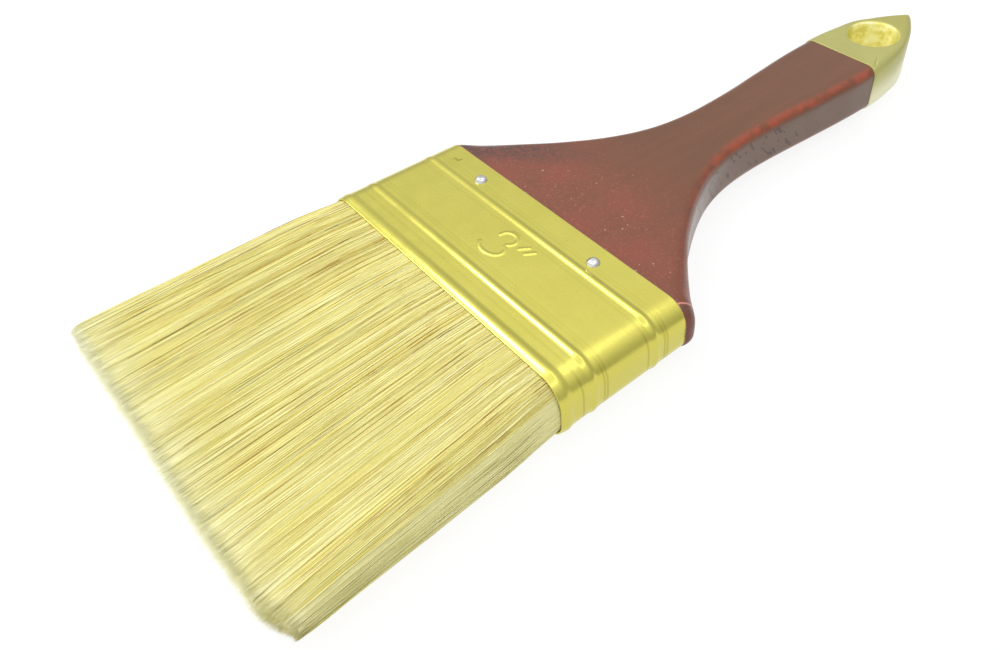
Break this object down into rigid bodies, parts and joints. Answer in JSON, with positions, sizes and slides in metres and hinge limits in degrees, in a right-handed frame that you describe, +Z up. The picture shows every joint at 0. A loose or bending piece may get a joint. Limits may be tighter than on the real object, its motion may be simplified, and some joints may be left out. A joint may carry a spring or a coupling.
{
  "type": "flat paint brush",
  "caption": "Flat paint brush: two banks of hair in a beaded metal ferrule, nailed to a flat wooden handle with a pointed, dipped end and a hanging hole.",
  "frame": {"origin": "under the middle of the brush's length and width, at the height of the surface that it lies on", "axes": "+Z up, out of the front face; +Y along the brush, from the hair's tips to the handle's pointed end; +X across the width"},
  "size_m": [0.0846, 0.2058, 0.0155],
  "materials": {
    "lacquered_wood": "dark red-brown gloss lacquer",
    "gold_dip": "pale gold lacquer dip",
    "gold_tinplate": "satin gold-lacquered tinplate",
    "nail_steel": "plain domed nail heads",
    "resin": "cast amber resin",
    "plug_board": "plain board",
    "hair": "pale blond natural hair"
  },
  "bodies": {
    "handle_and_ferrule": {"handle": "lacquered_wood", "tip_dip": "gold_dip", "ferrule": "gold_tinplate", "nail_front_left": "nail_steel", "nail_front_right": "nail_steel", "nail_rear_left": "nail_steel", "nail_rear_right": "nail_steel", "setting_resin": "resin", "spacer_plug": "plug_board", "bristle_roots_front": "hair", "bristle_roots_rear": "hair"},
    "free_hair": {"bristles_front": "hair", "bristles_rear": "hair"}
  },
  "joints": [
    {"name": "bristle_flex", "type": "hinge", "parent": "handle_and_ferrule", "child": "free_hair", "pos_m": [0, -0.0508, 0.00774], "axis": [1, 0, 0], "range_deg": [-30, 30], "stiffness_Nm_per_rad": 0.6}
  ]
}
